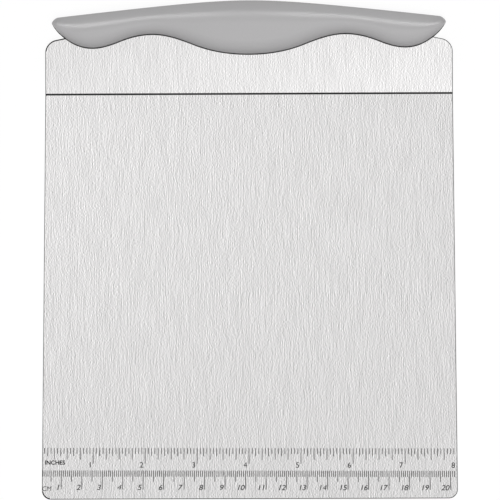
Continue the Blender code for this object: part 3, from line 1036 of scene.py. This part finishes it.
def add_lamps(stage):
    """Three wide softboxes over the lifter, and two small ones that light the grip alone.

    The key isn't reflected. The small ones draw the highlight along the ridge.
    """
    middle = (0.0, 0.0, 0.0)
    add_softbox("key_softbox", middle, *KEY_SOFTBOX, stage.key_level, reflected=False)
    add_softbox("front_softbox", middle, *FRONT_SOFTBOX, stage.front_level)
    add_softbox("rear_softbox", middle, *REAR_SOFTBOX, stage.rear_level)
    grip_only = bpy.data.collections.new("grip_only")
    grip_only.objects.link(bpy.data.objects["soft_grip"])
    for place, rightward, width in RIDGE_LAMPS:
        add_softbox("ridge_softbox", (place, RIDGE_BACK, RIDGE_UP),
                    (rightward, RIDGE_REARWARD), RIDGE_LAMP_DISTANCE,
                    (width, RIDGE_LAMP_DEPTH), stage.ridge_level, lights=False,
                    only_on=grip_only)


def seen_directly(tree):
    """1 for camera, mirror and glass rays, which show the background, and 0 for others."""
    path = add_node(tree, "ShaderNodeLightPath")
    either = add_node(tree, "ShaderNodeMath", {},
                      {0: path.outputs["Is Camera Ray"], 1: path.outputs["Is Glossy Ray"]},
                      operation="MAXIMUM")
    any_of = add_node(tree, "ShaderNodeMath", {},
                      {0: either.outputs[0], 1: path.outputs["Is Transmission Ray"]},
                      operation="MAXIMUM")
    return add_node(tree, "ShaderNodeMath", {},
                    {0: any_of.outputs[0], 1: path.outputs["Diffuse Depth"]},
                    operation="SUBTRACT", use_clamp=True).outputs[0]


def set_surround(stage):
    """Even soft light from all round, and a white background."""
    world = bpy.data.worlds.new("white_surround")
    tree = emptied_tree(world)
    even = add_node(tree, "ShaderNodeBackground",
                    {"Color": linear("#ffffff"), "Strength": stage.surround_level})
    white = add_node(tree, "ShaderNodeBackground", {"Color": linear("#ffffff"), "Strength": 1.0})
    mix = add_node(tree, "ShaderNodeMixShader", {},
                   {0: seen_directly(tree), 1: even.outputs[0], 2: white.outputs[0]})
    add_node(tree, "ShaderNodeOutputWorld", links={"Surface": mix.outputs[0]})
    bpy.context.scene.world = world


def floor_material(stage):
    """Matt white paper sweep, lifted to white where it is seen, that keeps a shadow."""
    material = bpy.data.materials.new("paper_matt_white")
    tree = emptied_tree(material)
    paper = add_node(tree, "ShaderNodeBsdfDiffuse", {"Color": stage.floor_colour})
    dim = add_node(tree, "ShaderNodeBsdfDiffuse", {"Color": linear(SEEN_FLOOR_COLOUR)})
    lift = add_node(tree, "ShaderNodeEmission",
                    {"Color": linear("#ffffff"), "Strength": SEEN_FLOOR_LIFT})
    seen = add_node(tree, "ShaderNodeAddShader", {}, {0: dim.outputs[0], 1: lift.outputs[0]})
    mix = add_node(tree, "ShaderNodeMixShader", {},
                   {0: seen_directly(tree), 1: paper.outputs[0], 2: seen.outputs[0]})
    add_node(tree, "ShaderNodeOutputMaterial", links={"Surface": mix.outputs[0]})
    return material


def add_floor(stage):
    """A floor that runs far past the view."""
    bm = bmesh.new()
    bmesh.ops.create_grid(bm, x_segments=1, y_segments=1, size=FLOOR_SIZE)
    bmesh.ops.translate(bm, verts=bm.verts[:], vec=(0, 0, -FLOOR_DROP))
    make_piece("floor", bm, [floor_material(stage)], None)


# Operators

class CAKELIFTER_OT_blade(bpy.types.Operator):
    """Build the brushed sheet with its tumbled rim, crease, flange and tang"""

    bl_idname = "cakelifter.blade"
    bl_label = "Build blade"

    def execute(self, context):
        blade, grip = context.scene.lifter_blade, context.scene.lifter_grip
        build_blade(blade, grip, [
            brushed_stainless_steel(blade),
            tumbled_stainless_steel("edge", blade.rim_colour),
            scored_stainless_steel(blade),
            tumbled_stainless_steel("left_corners", blade.left_corner_colour),
            tumbled_stainless_steel("right_corners", blade.right_corner_colour),
        ])
        return {"FINISHED"}


class CAKELIFTER_OT_grip(bpy.types.Operator):
    """Build the soft grip's skin"""

    bl_idname = "cakelifter.grip"
    bl_label = "Build grip"

    def execute(self, context):
        blade, grip = context.scene.lifter_blade, context.scene.lifter_grip
        build_grip(blade, grip, [satin_elastomer(grip), dark_lip_elastomer(grip)])
        return {"FINISHED"}


class CAKELIFTER_OT_core(bpy.types.Operator):
    """Give the hidden handle core its moulded finish"""

    bl_idname = "cakelifter.core"
    bl_label = "Finish core"

    def execute(self, context):
        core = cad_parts["handle_core"]
        core.data.materials.clear()
        core.data.materials.append(moulded_polypropylene(context.scene.lifter_grip))
        return {"FINISHED"}


class CAKELIFTER_OT_ruler(bpy.types.Operator):
    """Etch both scales, their numbers and the unit words"""

    bl_idname = "cakelifter.ruler"
    bl_label = "Etch ruler"

    def execute(self, context):
        blade, ruler = context.scene.lifter_blade, context.scene.lifter_ruler
        oxide = etched_oxide(blade)
        marks = {
            "inch_ticks": inch_ticks,
            "centimetre_ticks": centimetre_ticks,
            "inch_numbers": inch_lettering,
            "centimetre_numbers": centimetre_lettering,
        }
        for name, build in marks.items():
            bm = turn_on_sheet(build(blade, ruler), blade, ruler)
            make_piece(name, bm, [oxide], "blade_steel")
        return {"FINISHED"}


class CAKELIFTER_OT_stage(bpy.types.Operator):
    """Lay the floor and set the lamps, the surround and the camera"""

    bl_idname = "cakelifter.stage"
    bl_label = "Set stage"

    def execute(self, context):
        stage = context.scene.lifter_stage
        add_floor(stage)
        set_surround(stage)
        add_lamps(stage)
        add_camera()
        context.scene.view_settings.view_transform = "Standard"
        return {"FINISHED"}


class CAKELIFTER_PT_panel(bpy.types.Panel):
    """Sidebar list of the lifter's pieces and their settings"""

    bl_label = "Cake Lifter"
    bl_idname = "CAKELIFTER_PT_panel"
    bl_space_type = "VIEW_3D"
    bl_region_type = "UI"
    bl_category = "Cake Lifter"

    def draw(self, context):
        for group, (_, *operators) in GROUPS.items():
            box = self.layout.box()
            settings = getattr(context.scene, group)
            for name in settings.__annotations__:
                box.prop(settings, name)
            for operator in operators:
                box.operator(operator.bl_idname)


# Each group's name in the scene, then its settings and its operators
GROUPS = {
    "lifter_blade": (BladeSettings, CAKELIFTER_OT_blade),
    "lifter_grip": (GripSettings, CAKELIFTER_OT_grip, CAKELIFTER_OT_core),
    "lifter_ruler": (RulerSettings, CAKELIFTER_OT_ruler),
    "lifter_stage": (StageSettings, CAKELIFTER_OT_stage),
}


def register():
    """Add the settings, operators and panel to Blender."""
    for group, kinds in GROUPS.items():
        for kind in kinds:
            bpy.utils.register_class(kind)
        setattr(bpy.types.Scene, group, PointerProperty(type=kinds[0]))
    bpy.utils.register_class(CAKELIFTER_PT_panel)


def unregister():
    """Remove them again."""
    bpy.utils.unregister_class(CAKELIFTER_PT_panel)
    for group, kinds in GROUPS.items():
        delattr(bpy.types.Scene, group)
        for kind in reversed(kinds):
            bpy.utils.unregister_class(kind)


def main():
    """Build the whole lifter and its stage."""
    register()
    bpy.ops.cakelifter.blade()
    bpy.ops.cakelifter.grip()
    bpy.ops.cakelifter.core()
    bpy.ops.cakelifter.ruler()
    bpy.ops.cakelifter.stage()


if __name__ == "__main__":
    main()
